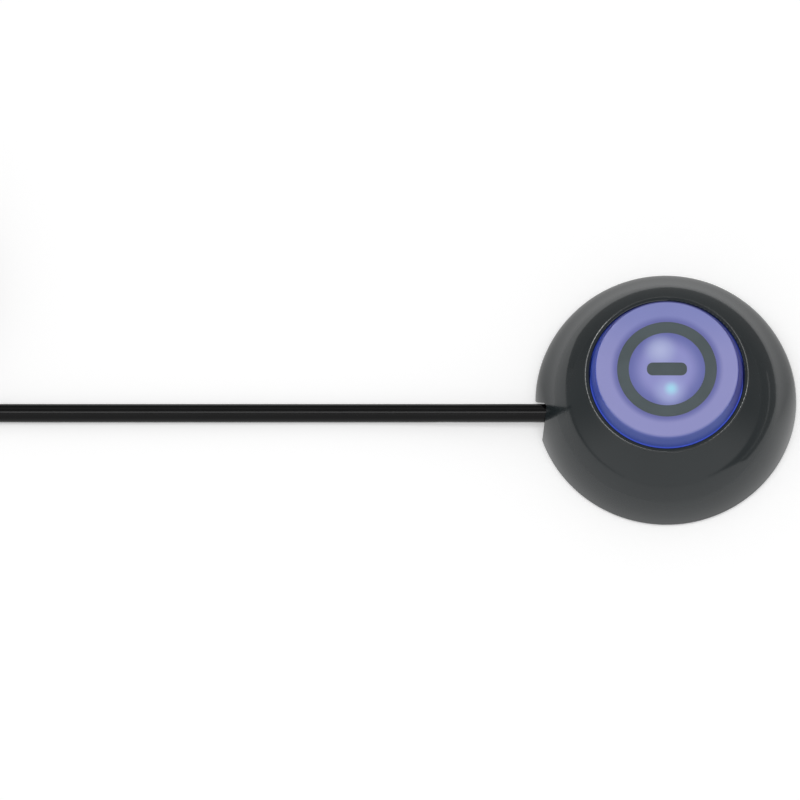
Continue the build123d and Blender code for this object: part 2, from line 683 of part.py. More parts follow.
def plug_body():
    body = lying([(BODY_START, PLUG_BODY_RADIUS), (PIN_START, PLUG_BODY_RADIUS)])
    return fillet(body.edges().filter_by(GeomType.CIRCLE), PLUG_BODY_ROUNDING)


def pin_stretch(start, length):
    return lying([(start, PIN_RADIUS), (start + length, PIN_RADIUS)])


def plug_insulators():
    return together(pin_stretch(start, PIN_INSULATOR) for start in (FIRST_INSULATOR, SECOND_INSULATOR))


def plug_tip():
    start = (TIP_START, PIN_BULGE_RADIUS)
    neck = (TIP_START + PIN_NECK_AT, PIN_NECK_RADIUS)
    bulge = (TIP_START + PIN_BULGE_AT, PIN_BULGE_RADIUS)
    point = (TIP_START + PIN_TIP, PIN_POINT_RADIUS)
    return lying([start, neck, bulge, point])


def main():
    os.makedirs("parts", exist_ok=True)
    save("top_shell", top_shell())
    save("base_plate", base_plate())
    save("rubber_feet", rubber_feet())
    save("housing_screws", housing_screws())
    save("cord_clamp", cord_clamp())
    save("clamp_screws", clamp_screws())
    save("cord_tail", cord_tail())
    for name, step in (("lead_front", -1), ("lead_middle", 0), ("lead_back", 1)):
        save(name, lead(step))
    save("wire_socket", wire_socket())
    save("circuit_board", circuit_board())
    save("board_screws", board_screws())
    save("switch_body", switch_body())
    save("switch_pins", switch_pins())
    save("switch_stem", switch_stem())
    save("leds", leds())
    save("resistors", resistors())
    save("return_spring", return_spring())
    save("button_cap", button_cap())
    save("symbol_ring", symbol_ring_form(0) & button_form(0))
    save("symbol_bar", symbol_bar_form(0) & button_form(0))
    save("button_carrier", button_carrier())
    save("cord_run", cord_run())
    save("cord_coil", cord_coil())
    save("cord_end", cord_end())
    save("plug_boot", plug_boot())
    save("plug_body", plug_body())
    save("plug_sleeve", pin_stretch(PIN_START, PIN_SLEEVE))
    save("plug_insulators", plug_insulators())
    save("plug_ring", pin_stretch(RING_START, PIN_RING))
    save("plug_tip", plug_tip())


if __name__ == "__main__":
    main()
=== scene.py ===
"""Corded push switch with a lit button: its finishes, free cord, plug, studio and camera.

Everything is in metres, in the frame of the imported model: +Z up, the origin on the table under the
middle of the housing, and the cord towards -X.
"""

import logging
import math
from dataclasses import dataclass
from enum import Enum

import bpy
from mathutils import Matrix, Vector


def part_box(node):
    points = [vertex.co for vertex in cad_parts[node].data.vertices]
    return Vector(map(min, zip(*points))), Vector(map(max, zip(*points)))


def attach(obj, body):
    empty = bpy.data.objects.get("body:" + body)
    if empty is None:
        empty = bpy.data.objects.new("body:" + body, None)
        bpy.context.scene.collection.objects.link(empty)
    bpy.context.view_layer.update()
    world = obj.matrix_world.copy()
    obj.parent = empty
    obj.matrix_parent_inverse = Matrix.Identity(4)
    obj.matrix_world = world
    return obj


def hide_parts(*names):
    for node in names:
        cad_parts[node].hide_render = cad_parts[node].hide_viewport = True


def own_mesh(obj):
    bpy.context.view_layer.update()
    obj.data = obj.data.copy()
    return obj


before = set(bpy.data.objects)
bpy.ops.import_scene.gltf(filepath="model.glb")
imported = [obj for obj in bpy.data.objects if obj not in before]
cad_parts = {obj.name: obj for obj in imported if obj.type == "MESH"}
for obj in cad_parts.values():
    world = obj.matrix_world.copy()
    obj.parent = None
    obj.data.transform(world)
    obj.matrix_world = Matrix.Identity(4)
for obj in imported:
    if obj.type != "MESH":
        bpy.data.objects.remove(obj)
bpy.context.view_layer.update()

log = logging.getLogger("switch")

Colour = tuple[float, float, float, float]
Socket = bpy.types.NodeSocket
Point = tuple[float, float, float]

MM = 0.001


def shade(red: int, green: int, blue: int) -> Colour:
    """Turn a display colour, 0 to 255 a channel, into the linear colour that a shader takes.

    Args:
        red: display red.
        green: display green.
        blue: display blue.

    Returns:
        The linear colour with full alpha.
    """
    parts = [value / 255 for value in (red, green, blue)]
    linear = [p / 12.92 if p <= 0.04045 else ((p + 0.055) / 1.055) ** 2.4 for p in parts]
    return (*linear, 1.0)


def grey(level: float) -> Colour:
    """Make an even grey, or a light's level, of one linear value."""
    return (level, level, level, 1.0)


# Node trees


class Bench:
    """Adds and joins nodes in one tree."""

    def __init__(self, tree: bpy.types.NodeTree) -> None:
        """Keep the tree that the nodes go into."""
        self.tree = tree

    def feed(self, socket: Socket, value: object) -> None:
        """Link a socket to another socket, or set its own value.

        Args:
            socket: the input to fill.
            value: a socket to link from, or a plain value.
        """
        if isinstance(value, bpy.types.NodeSocket):
            self.tree.links.new(value, socket)
        else:
            socket.default_value = value

    def add(self, kind: str, inputs: dict | None = None, **settings: object) -> bpy.types.Node:
        """Add one node.

        Args:
            kind: the node's type, without its ShaderNode prefix.
            inputs: sockets or plain values for its inputs, by name or place.
            settings: attributes to set before the inputs are filled.

        Returns:
            The new node.
        """
        node = self.tree.nodes.new("ShaderNode" + kind)
        for name, value in settings.items():
            setattr(node, name, value)
        for key, value in (inputs or {}).items():
            self.feed(node.inputs[key], value)
        return node

    def math(self, operation: str, *values: object) -> Socket:
        """Work out one number from one to three others."""
        return self.add("Math", dict(enumerate(values)), operation=operation).outputs[0]

    def mix(self, factor: object, first: object, second: object) -> Socket:
        """Blend two colours by a factor."""
        mixer = self.add("Mix", data_type="RGBA")
        self.feed(mixer.inputs[0], factor)
        self.feed(mixer.inputs[6], first)
        self.feed(mixer.inputs[7], second)
        return mixer.outputs[2]

    def fade(self, value: object, start: object, end: object, low: float = 0.0, high: float = 1.0) -> Socket:
        """Carry a value smoothly from one range to another.

        Args:
            value: what is measured.
            start: where the result is low.
            end: where the result is high.
            low: the result at the start and before it.
            high: the result at the end and past it.

        Returns:
            The faded value.
        """
        inputs = {"Value": value, "From Min": start, "From Max": end, "To Min": low, "To Max": high}
        return self.add("MapRange", inputs, interpolation_type="SMOOTHSTEP").outputs[0]

    def noise(self, where: object, scale: object, detail: float = 4.0) -> Socket:
        """Soft random pattern between 0 and 1."""
        return self.add("TexNoise", {"Vector": where, "Scale": scale, "Detail": detail}).outputs[0]

    def place(self) -> Socket:
        """Where a point is on the piece, in metres."""
        return self.add("TexCoord").outputs["Object"]


class Effect(Enum):
    """Surface effects that several finishes share, each one node group."""

    GRAIN = "moulded_grain"
    EDGE = "edge_wear"
    DUST = "settled_dust"
    SCRATCH = "fine_scratches"


class EffectShelf:
    """Makes each shared effect once and places it in materials."""

    FIELDS = {
        Effect.GRAIN: (("Scale",), ("Height", "Tone")),
        Effect.EDGE: (("Width", "Break Scale"), ("Mask",)),
        Effect.DUST: (("Scale", "Amount"), ("Mask",)),
        Effect.SCRATCH: (("Scale", "Amount"), ("Mask",)),
    }

    def __init__(self) -> None:
        """Start with no groups made."""
        self.trees: dict[Effect, bpy.types.NodeTree] = {}

    def place(self, bench: Bench, effect: Effect, where: Socket, **values: float) -> bpy.types.Node:
        """Put an effect into a material.

        Args:
            bench: the material's bench.
            effect: which effect.
            where: the coordinates that the effect follows.
            values: its numbers, with an underscore for a space.

        Returns:
            The group node, whose outputs are the effect's results.
        """
        if effect not in self.trees:
            self.trees[effect] = self.make(effect)
        node = bench.add("Group", node_tree=self.trees[effect])
        bench.feed(node.inputs["Vector"], where)
        for name, value in values.items():
            node.inputs[name.replace("_", " ").title()].default_value = value
        return node

    def make(self, effect: Effect) -> bpy.types.NodeTree:
        """Build one effect's group.

        Args:
            effect: which effect.

        Returns:
            The finished node group.
        """
        tree = bpy.data.node_groups.new(effect.value, "ShaderNodeTree")
        numbers, results = self.FIELDS[effect]
        tree.interface.new_socket("Vector", in_out="INPUT", socket_type="NodeSocketVector")
        for name in numbers:
            tree.interface.new_socket(name, in_out="INPUT", socket_type="NodeSocketFloat")
        for name in results:
            tree.interface.new_socket(name, in_out="OUTPUT", socket_type="NodeSocketFloat")
        bench = Bench(tree)
        given = tree.nodes.new("NodeGroupInput").outputs
        taken = tree.nodes.new("NodeGroupOutput").inputs
        builders = {
            Effect.GRAIN: self.grain,
            Effect.EDGE: self.edge,
            Effect.DUST: self.dust,
            Effect.SCRATCH: self.scratch,
        }
        for name, value in builders[effect](bench, given).items():
            bench.feed(taken[name], value)
        return tree

    @staticmethod
    def grain(bench: Bench, given: bpy.types.NodeOutputs) -> dict[str, Socket]:
        """Fine moulded texture over a slow drift of tone."""
        fine = bench.noise(given["Vector"], given["Scale"], 6.0)
        slow = bench.noise(given["Vector"], bench.math("MULTIPLY", given["Scale"], 0.06), 2.0)
        height = bench.math("MULTIPLY_ADD", slow, 0.4, bench.math("MULTIPLY", fine, 0.6))
        return {"Height": height, "Tone": bench.fade(slow, 0.3, 0.7)}

    @staticmethod
    def edge(bench: Bench, given: bpy.types.NodeOutputs) -> dict[str, Socket]:
        """Rubbed edges: strong where a rounded normal leaves the true one, broken up by noise."""
        round_normal = bench.add("Bevel", {"Radius": given["Width"]}, samples=4).outputs[0]
        true_normal = bench.add("NewGeometry").outputs["Normal"]
        dot = bench.add("VectorMath", {0: round_normal, 1: true_normal}, operation="DOT_PRODUCT")
        bend = bench.fade(dot.outputs["Value"], 0.995, 0.90)
        broken = bench.fade(bench.noise(given["Vector"], given["Break Scale"], 5.0), 0.38, 0.62)
        return {"Mask": bench.math("MULTIPLY", bend, broken)}

    @staticmethod
    def dust(bench: Bench, given: bpy.types.NodeOutputs) -> dict[str, Socket]:
        """Specks that lie on what faces up."""
        cells = bench.add("TexVoronoi", {"Vector": given["Vector"], "Scale": given["Scale"]})
        speck = bench.fade(cells.outputs["Distance"], 0.16, 0.04)
        broad = bench.math("MULTIPLY", given["Scale"], 0.1)
        patch = bench.fade(bench.noise(given["Vector"], broad), 0.45, 0.7)
        normal = bench.add("SeparateXYZ", {0: bench.add("NewGeometry").outputs["Normal"]})
        facing = bench.fade(normal.outputs["Z"], 0.0, 0.9)
        mask = bench.math("MULTIPLY", bench.math("MULTIPLY", speck, patch), facing)
        return {"Mask": bench.math("MULTIPLY", mask, given["Amount"])}

    @staticmethod
    def scratch(bench: Bench, given: bpy.types.NodeOutputs) -> dict[str, Socket]:
        """Hair lines in two directions, seen where noise lets them through."""
        found = []
        for turn in (0.4, 2.1):
            turned = bench.add("Mapping", {"Vector": given["Vector"], "Rotation": (0.0, 0.0, turn)})
            turned.inputs["Scale"].default_value = (1.0, 0.03, 1.0)
            lines = bench.noise(turned.outputs[0], given["Scale"], 2.0)
            found.append(bench.fade(lines, 0.68, 0.76))
        both = bench.math("MAXIMUM", *found)
        return {"Mask": bench.math("MULTIPLY", both, given["Amount"])}


SHELF = EffectShelf()


# Finishes


@dataclass(frozen=True)
class Finish:
    """A named material; each kind of finish adds its own nodes."""

    name: str
    colour: Colour = (0.5, 0.5, 0.5, 1.0)

    def material(self) -> bpy.types.Material:
        """Get the material, made on first use.

        Returns:
            The material with this finish's name.
        """
        found = bpy.data.materials.get("finish_" + self.name)
        if found:
            return found
        made = bpy.data.materials.new("finish_" + self.name)
        made.use_nodes = True
        made.node_tree.nodes.clear()
        bench = Bench(made.node_tree)
        surface = self.shader(bench)
        bench.add("OutputMaterial", {"Surface": surface.outputs[0]})
        made.diffuse_color = self.colour
        return made

    def shader(self, bench: Bench) -> bpy.types.Node:
        """Build the finish's nodes and return its shader node."""
        return bench.add("BsdfPrincipled", {"Base Color": self.colour})


@dataclass(frozen=True)
class Moulded(Finish):
    """Moulded plastic or rubber: tone drift, grain, rubbed edges, scratches and dust."""

    rubbed: Colour = (0.2, 0.2, 0.2, 1.0)
    roughness: float = 0.35
    unevenness: float = 0.06
    grain_scale: float = 2500.0
    grain_depth: float = 0.00001
    edge_width: float = 0.0003
    wear: float = 0.4
    scratches: float = 0.1
    dust: float = 0.1
    ior: float = 1.5

    def tones(self, bench: Bench, tone: Socket) -> Socket:
        """Colour before wear: the plain one and a slightly lighter drift."""
        lighter = tuple(min(1.0, c * 1.12) for c in self.colour[:3]) + (1.0,)
        return bench.mix(tone, self.colour, lighter)

    def shader(self, bench: Bench) -> bpy.types.Node:
        """Build the finish's nodes.

        Args:
            bench: the material's bench.

        Returns:
            The shader node.
        """
        where = bench.place()
        grain = SHELF.place(bench, Effect.GRAIN, where, scale=self.grain_scale)
        edge = SHELF.place(bench, Effect.EDGE, where, width=self.edge_width, break_scale=900.0)
        dust = SHELF.place(bench, Effect.DUST, where, scale=1400.0, amount=self.dust)
        lines = SHELF.place(bench, Effect.SCRATCH, where, scale=1600.0, amount=self.scratches)
        worn = bench.math("MULTIPLY", edge.outputs["Mask"], self.wear)
        colour = bench.mix(worn, self.tones(bench, grain.outputs["Tone"]), self.rubbed)
        colour = bench.mix(dust.outputs["Mask"], colour, shade(150, 148, 142))
        rough = bench.math("MULTIPLY_ADD", grain.outputs["Tone"], self.unevenness, self.roughness)
        rough = bench.math("MULTIPLY_ADD", lines.outputs["Mask"], 0.25, rough)
        rough = bench.math("MULTIPLY_ADD", dust.outputs["Mask"], 0.4, rough)
        bump = bench.add("Bump", {"Height": grain.outputs["Height"], "Distance": self.grain_depth})
        inputs = {"Base Color": colour, "Roughness": rough, "Normal": bump.outputs[0], "IOR": self.ior}
        return bench.add("BsdfPrincipled", inputs)


@dataclass(frozen=True)
class Metal(Finish):
    """Bare or plated metal with brushed streaks and dulled edges."""

    tarnish: Colour = (0.2, 0.18, 0.16, 1.0)
    roughness: float = 0.25
    streak: float = 3000.0
    streak_axis: Point = (0.05, 1.0, 1.0)

    def shader(self, bench: Bench) -> bpy.types.Node:
        """Build the finish's nodes.

        Args:
            bench: the material's bench.

        Returns:
            The shader node.
        """
        where = bench.place()
        along = bench.add("Mapping", {"Vector": where, "Scale": self.streak_axis}).outputs[0]
        streaks = bench.noise(along, self.streak, 3.0)
        edge = SHELF.place(bench, Effect.EDGE, where, width=0.0002, break_scale=1500.0)
        patches = bench.fade(bench.noise(where, 350.0, 5.0), 0.45, 0.8, 0.0, 0.5)
        colour = bench.mix(patches, self.colour, self.tarnish)
        lighter = tuple(min(1.0, c * 1.2) for c in self.colour[:3]) + (1.0,)
        colour = bench.mix(edge.outputs["Mask"], colour, lighter)
        rough = bench.math("MULTIPLY_ADD", streaks, 0.18, self.roughness)
        rough = bench.math("MULTIPLY_ADD", patches, 0.2, rough)
        bump = bench.add("Bump", {"Height": streaks, "Distance": 0.000004})
        inputs = {"Base Color": colour, "Metallic": 1.0, "Roughness": rough, "Normal": bump.outputs[0]}
        return bench.add("BsdfPrincipled", inputs)


@dataclass(frozen=True)
class Laminate(Finish):
    """Circuit board: lacquer over a web of copper tracks, with bare pads."""

    track: Colour = (0.02, 0.2, 0.07, 1.0)
    pad: Colour = (0.7, 0.55, 0.3, 1.0)

    def shader(self, bench: Bench) -> bpy.types.Node:
        """Build the finish's nodes.

        Args:
            bench: the material's bench.

        Returns:
            The shader node.
        """
        where = bench.place()
        cells = bench.add("TexVoronoi", {"Vector": where, "Scale": 260.0}, feature="DISTANCE_TO_EDGE")
        tracks = bench.fade(cells.outputs["Distance"], 0.09, 0.06)
        spots = bench.add("TexVoronoi", {"Vector": where, "Scale": 300.0, "Randomness": 0.4})
        pads = bench.fade(spots.outputs["Distance"], 0.14, 0.12)
        grain = SHELF.place(bench, Effect.GRAIN, where, scale=4000.0)
        colour = bench.mix(tracks, self.colour, self.track)
        colour = bench.mix(pads, colour, self.pad)
        height = bench.math("MULTIPLY_ADD", tracks, 0.8, grain.outputs["Height"])
        bump = bench.add("Bump", {"Height": height, "Distance": 0.00002})
        rough = bench.math("MULTIPLY_ADD", grain.outputs["Tone"], 0.1, 0.3)
        inputs = {"Base Color": colour, "Metallic": pads, "Roughness": rough, "Normal": bump.outputs[0]}
        return bench.add("BsdfPrincipled", inputs)


@dataclass(frozen=True)
class Glow:
    """One soft spot of light under the button's face, in millimetres from the axis."""

    x: float
    y: float
    reach: float
    colour: Colour


@dataclass(frozen=True)
class LitButton(Finish):
    """Milky button lit from inside: a lavender face and a bluer skirt with painted shade, and two painted lamp
    glows.
    """

    # Painted shade on the face: darker toward the back, in a band beside the ring and toward the ring's inner
    # edge; the middle is lighter.
    back: Colour = shade(132, 137, 194)
    shade_by_ring: Colour = shade(108, 111, 172)
    middle: Colour = shade(146, 148, 205)
    middle_rim_shade: Colour = shade(105, 110, 172)
    # Painted shade on the side wall: lighter at the front, darker at the back, left and right.
    skirt_front: Colour = shade(70, 86, 160)
    skirt_back: Colour = shade(42, 44, 112)
    skirt_left: Colour = shade(44, 66, 160)
    skirt_right: Colour = shade(56, 58, 134)
    ring_inner: float = 10.2
    ring_outer: float = 13.3
    face_edge: float = 18.7
    skirt_edge: float = 19.15
    front_softness: float = 0.35
    glows: tuple[Glow, ...] = (
        Glow(-1.75, 5.2, 5.6, shade(178, 185, 224)),
        Glow(0.8, -6.4, 5.8, shade(172, 180, 226)),
        Glow(1.15, -5.5, 2.6, shade(168, 222, 245)),
    )
    lamp_share: float = 0.3
    gap_heights: tuple[float, float] = (23.6, 22.8)
    gap_light: Colour = (0.14, 0.24, 1.5, 1.0)
    ior: float = 1.32

    def face(self, bench: Bench, where: Socket, across: Socket, radius: Socket) -> Socket:
        """Colour of the face, from the axis outwards, with painted shade: darker toward the back, beside the
        ring and toward the ring's inner edge, and lighter in the middle.

        Args:
            bench: the material's bench.
            where: the point in millimetres.
            across: the point's Y in millimetres.
            radius: its distance from the axis in millimetres.

        Returns:
            The colour socket.
        """
        # Painted shade: the face darkens toward the back, beside the ring and toward the ring's inner edge.
        outer = bench.mix(bench.fade(across, 2.0, 17.0), self.colour, self.back)
        shade_by_ring_mask = bench.fade(radius, self.ring_outer + 2.1, self.ring_outer + 0.2)
        outer = bench.mix(shade_by_ring_mask, outer, self.shade_by_ring)
        inner = bench.mix(bench.fade(radius, 5.5, self.ring_inner), self.middle, self.middle_rim_shade)
        for glow in self.glows:
            away = bench.add(
                "VectorMath", {0: where, 1: (glow.x, glow.y, 0.0)}, operation="DISTANCE"
            ).outputs["Value"]
            inner = bench.mix(bench.fade(away, glow.reach, 0.0), inner, glow.colour)
        return bench.mix(bench.fade(radius, self.ring_inner, self.ring_outer), inner, outer)

    def skirt(self, bench: Bench, along: Socket, across: Socket) -> Socket:
        """Colour of the side wall all round, with painted shade that differs by side."""
        # Painted shade by side: lighter at the front, darker at the back, left and right.
        colour = bench.mix(bench.fade(across, -12.0, 14.0), self.skirt_front, self.skirt_back)
        colour = bench.mix(bench.fade(along, -14.0, -20.0), colour, self.skirt_left)
        return bench.mix(bench.fade(along, 14.0, 20.0), colour, self.skirt_right)

    def shader(self, bench: Bench) -> bpy.types.Node:
        """Build the finish's nodes.

        Args:
            bench: the material's bench.

        Returns:
            The shader node.
        """
        metres = bench.place()
        parts = bench.add("SeparateXYZ", {0: metres})
        along, across = (bench.math("MULTIPLY", parts.outputs[i], 1000.0) for i in range(2))
        flat = bench.add("CombineXYZ", {0: along, 1: across}).outputs[0]
        radius = bench.add("VectorMath", {0: flat}, operation="LENGTH").outputs["Value"]
        soft = bench.fade(across, -2.0, -16.0, 0.0, self.front_softness)
        face_edge = bench.math("SUBTRACT", self.face_edge, soft)
        skirt_edge = bench.math("ADD", self.skirt_edge, soft)
        side = bench.fade(radius, face_edge, skirt_edge)
        colour = bench.mix(side, self.face(bench, flat, across, radius), self.skirt(bench, along, across))
        grain = SHELF.place(bench, Effect.GRAIN, metres, scale=2200.0)
        edge = SHELF.place(bench, Effect.EDGE, metres, width=0.0004, break_scale=900.0)
        dust = SHELF.place(bench, Effect.DUST, metres, scale=1300.0, amount=0.1)
        rough = bench.math("MULTIPLY_ADD", grain.outputs["Tone"], 0.08, 0.34)
        rough = bench.math("MULTIPLY_ADD", edge.outputs["Mask"], 0.1, rough)
        rough = bench.math("MULTIPLY_ADD", dust.outputs["Mask"], 0.3, rough)
        bump = bench.add("Bump", {"Height": grain.outputs["Height"], "Distance": 0.000006})
        up = bench.math("MULTIPLY", parts.outputs[2], 1000.0)
        glow = bench.mix(bench.fade(up, *self.gap_heights), colour, self.gap_light)
        inputs = {
            "Base Color": bench.mix(self.lamp_share, colour, grey(0.0)),
            "Roughness": rough,
            "Normal": bump.outputs[0],
            "IOR": self.ior,
            "Emission Color": glow,
            "Emission Strength": self.lamp_share,
        }
        return bench.add("BsdfPrincipled", inputs)


@dataclass(frozen=True)
class Lamp(Finish):
    """Lamp chip: cloudy resin with a bright die in it."""

    glow: Colour = shade(90, 130, 255)

    def shader(self, bench: Bench) -> bpy.types.Node:
        """Build the finish's nodes.

        Args:
            bench: the material's bench.

        Returns:
            The shader node.
        """
        where = bench.place()
        cloud = bench.noise(where, 900.0, 3.0)
        grain = SHELF.place(bench, Effect.GRAIN, where, scale=5000.0)
        colour = bench.mix(cloud, self.colour, self.glow)
        bump = bench.add("Bump", {"Height": grain.outputs["Height"], "Distance": 0.000005})
        rough = bench.math("MULTIPLY_ADD", cloud, 0.2, 0.15)
        inputs = {
            "Base Color": colour,
            "Roughness": rough,
            "Normal": bump.outputs[0],
            "Emission Color": colour,
            "Emission Strength": 0.6,
        }
        return bench.add("BsdfPrincipled", inputs)


HOUSING_GLOSS = Moulded(
    "housing_gloss",
    colour=(0.014, 0.019, 0.021, 1.0),
    rubbed=shade(92, 96, 98),
    roughness=0.08,
    unevenness=0.03,
    grain_scale=900.0,
    grain_depth=0.0000015,
    edge_width=0.00015,
    wear=0.15,
    scratches=0.06,
    dust=0.05,
)
BASE_MATT = Moulded(
    "base_matt",
    colour=shade(30, 31, 33),
    rubbed=shade(70, 72, 75),
    roughness=0.5,
    grain_depth=0.00003,
)
FOOT_RUBBER = Moulded(
    "foot_rubber",
    colour=shade(22, 22, 23),
    rubbed=shade(58, 57, 55),
    roughness=0.75,
    grain_depth=0.00004,
    ior=1.45,
)
JACKET = Moulded(
    "cord_jacket",
    colour=(0.003, 0.003, 0.0032, 1.0),
    rubbed=shade(60, 60, 62),
    roughness=0.16,
    unevenness=0.03,
    grain_scale=1500.0,
    grain_depth=0.0000015,
    wear=0.0,
    scratches=0.05,
    dust=0.02,
    ior=1.27,
)
SYMBOL_GREY = Moulded(
    "symbol_grey",
    colour=shade(73, 82, 85),
    rubbed=shade(120, 124, 128),
    roughness=0.45,
    grain_depth=0.000006,
    wear=0.15,
    scratches=0.03,
    dust=0.04,
    ior=1.3,
)
LEAD_BROWN = Moulded("lead_brown", colour=shade(92, 52, 30), rubbed=shade(140, 100, 80), roughness=0.35)
LEAD_BLUE = Moulded("lead_blue", colour=shade(32, 70, 150), rubbed=shade(90, 120, 180), roughness=0.35)
LEAD_GREEN = Moulded("lead_green", colour=shade(70, 130, 50), rubbed=shade(140, 170, 110), roughness=0.35)
SOCKET_CREAM = Moulded(
    "socket_cream",
    colour=shade(226, 220, 200),
    rubbed=shade(240, 238, 230),
    roughness=0.4,
)
SWITCH_BLACK = Moulded("switch_black", colour=shade(28, 28, 30), rubbed=shade(75, 75, 78), roughness=0.4)
STEM_WHITE = Moulded("stem_white", colour=shade(214, 214, 208), rubbed=shade(238, 238, 236), roughness=0.38)
CARRIER_WHITE = Moulded(
    "carrier_white",
    colour=shade(222, 222, 220),
    rubbed=shade(240, 240, 240),
    roughness=0.36,
)
CHIP_BLACK = Moulded("chip_black", colour=shade(24, 24, 26), rubbed=shade(90, 90, 92), roughness=0.3)
PLUG_BLACK = Moulded(
    "plug_black",
    colour=shade(20, 20, 21),
    rubbed=shade(66, 66, 68),
    roughness=0.42,
    grain_depth=0.00002,
    wear=0.35,
)
PIN_BLACK = Moulded("pin_black", colour=shade(16, 16, 17), rubbed=shade(60, 60, 60), roughness=0.3)
SCREW_ZINC = Metal("screw_zinc", colour=(0.58, 0.58, 0.56, 1.0), roughness=0.28)
CONTACT_TIN = Metal("contact_tin", colour=(0.62, 0.61, 0.58, 1.0), roughness=0.22)
SPRING_STEEL = Metal(
    "spring_steel",
    colour=(0.5, 0.5, 0.52, 1.0),
    roughness=0.24,
    streak_axis=(1.0, 1.0, 0.1),
)
PIN_NICKEL = Metal("pin_nickel", colour=(0.66, 0.63, 0.57, 1.0), roughness=0.14)
BOARD_GREEN = Laminate("board_green", colour=(0.01, 0.09, 0.035, 1.0))
LAMP_BLUE = Lamp("lamp_blue", colour=shade(235, 238, 230))
LIT_LAVENDER = LitButton("lit_lavender", colour=shade(146, 147, 200))


# Helpers on objects


def dress(name: str, finish: Finish) -> None:
    """Give a CAD node its finish.

    Args:
        name: the node.
        finish: what it is made of.
    """
    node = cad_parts[name]
    if not node.material_slots:
        node.data.materials.append(None)
    for place in node.material_slots:
        place.material = finish.material()
    log.info("%s wears %s", name, finish.name)


def nothing_selected() -> None:
    """Leave edit mode and deselect everything."""
    if bpy.context.object and bpy.context.object.mode != "OBJECT":
        bpy.ops.object.mode_set(mode="OBJECT")
    bpy.ops.object.select_all(action="DESELECT")


# The free cord


@dataclass
class Flex:
    """The cord outside the housing: a straight lie on the table, then a put-away coil."""

    diameter: float = 5.0 * MM
    exit: Point = (-32.2 * MM, -4.84 * MM, 5.0 * MM)
    length: float = 2.03
    run: tuple[Point, ...] = (
        (-29.0 * MM, -4.84 * MM, 5.0 * MM),
        (-44.0 * MM, -4.84 * MM, 5.0 * MM),
        (-76.0 * MM, -4.0067 * MM, 2.5 * MM),
        (-112.0 * MM, -4.0067 * MM, 2.5 * MM),
        (-221.0 * MM, -4.0067 * MM, 2.5 * MM),
    )
    coil_middle: tuple[float, float] = (-221.0 * MM, 30.9933 * MM)
    outer_turn: float = 35.0 * MM
    inner_turn: float = 19.0 * MM
    last_turn: float = 18.0 * MM
    plug_z: float = 19.25 * MM
    boot_x: float = -231.0 * MM
    into_boot: float = 2.0 * MM
    points_a_turn: int = 20

    def stretches(self) -> list[tuple[float, float, float, float, float]]:
        """Turns, start and end radius, and start and end height of each stretch of the coil."""
        low, middle, high = (self.diameter * (layer + 0.5) for layer in range(3))
        out, near, last = self.outer_turn, self.inner_turn, self.last_turn
        return [
            (3.2, out, near, low, low),
            (0.4, near, near, low, middle),
            (3.2, near, out, middle, middle),
            (0.4, out, out, middle, high),
            (3.4, out, last, high, high),
            (0.4, last, last, high, self.plug_z),
        ]

    def coil(self) -> list[Point]:
        """Points of the coil's turns, clockwise seen from above, from under the middle of its front.

        Returns:
            The points, without the first, which the run ends at.
        """
        points = []
        angle = -90.0
        for turns, start_radius, end_radius, start_z, end_z in self.stretches():
            steps = round(turns * self.points_a_turn)
            for step in range(1, steps + 1):
                share = step / steps
                turned = math.radians(angle - 360 * turns * share)
                radius = start_radius + (end_radius - start_radius) * share
                x = self.coil_middle[0] + radius * math.cos(turned)
                y = self.coil_middle[1] + radius * math.sin(turned)
                points.append((x, y, start_z + (end_z - start_z) * share))
            angle -= 360 * turns
        return points

    def build(self) -> bpy.types.Object:
        """Lay the cord on one smooth line.

        Returns:
            The bevelled curve.
        """
        coil = self.coil()
        end = (self.boot_x - self.into_boot, coil[-1][1], coil[-1][2])
        points = [*self.run, *coil, end]
        curve = bpy.data.curves.new("cord_flex", "CURVE")
        curve.dimensions = "3D"
        spline = curve.splines.new("NURBS")
        spline.points.add(len(points) - 1)
        for point, place in zip(spline.points, points):
            point.co = (*place, 1.0)
        spline.order_u = 3
        spline.use_endpoint_u = True
        curve.resolution_u = 5
        curve.bevel_depth = self.diameter / 2
        curve.bevel_resolution = 7
        curve.use_fill_caps = True
        curve.materials.append(JACKET.material())
        cord = bpy.data.objects.new("cord_flex", curve)
        bpy.context.scene.collection.objects.link(cord)
        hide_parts("cord_run", "cord_coil", "cord_end")
        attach(cord, "housing")
        log.info("cord_flex laid through %d points", len(points))
        return cord


# The plug


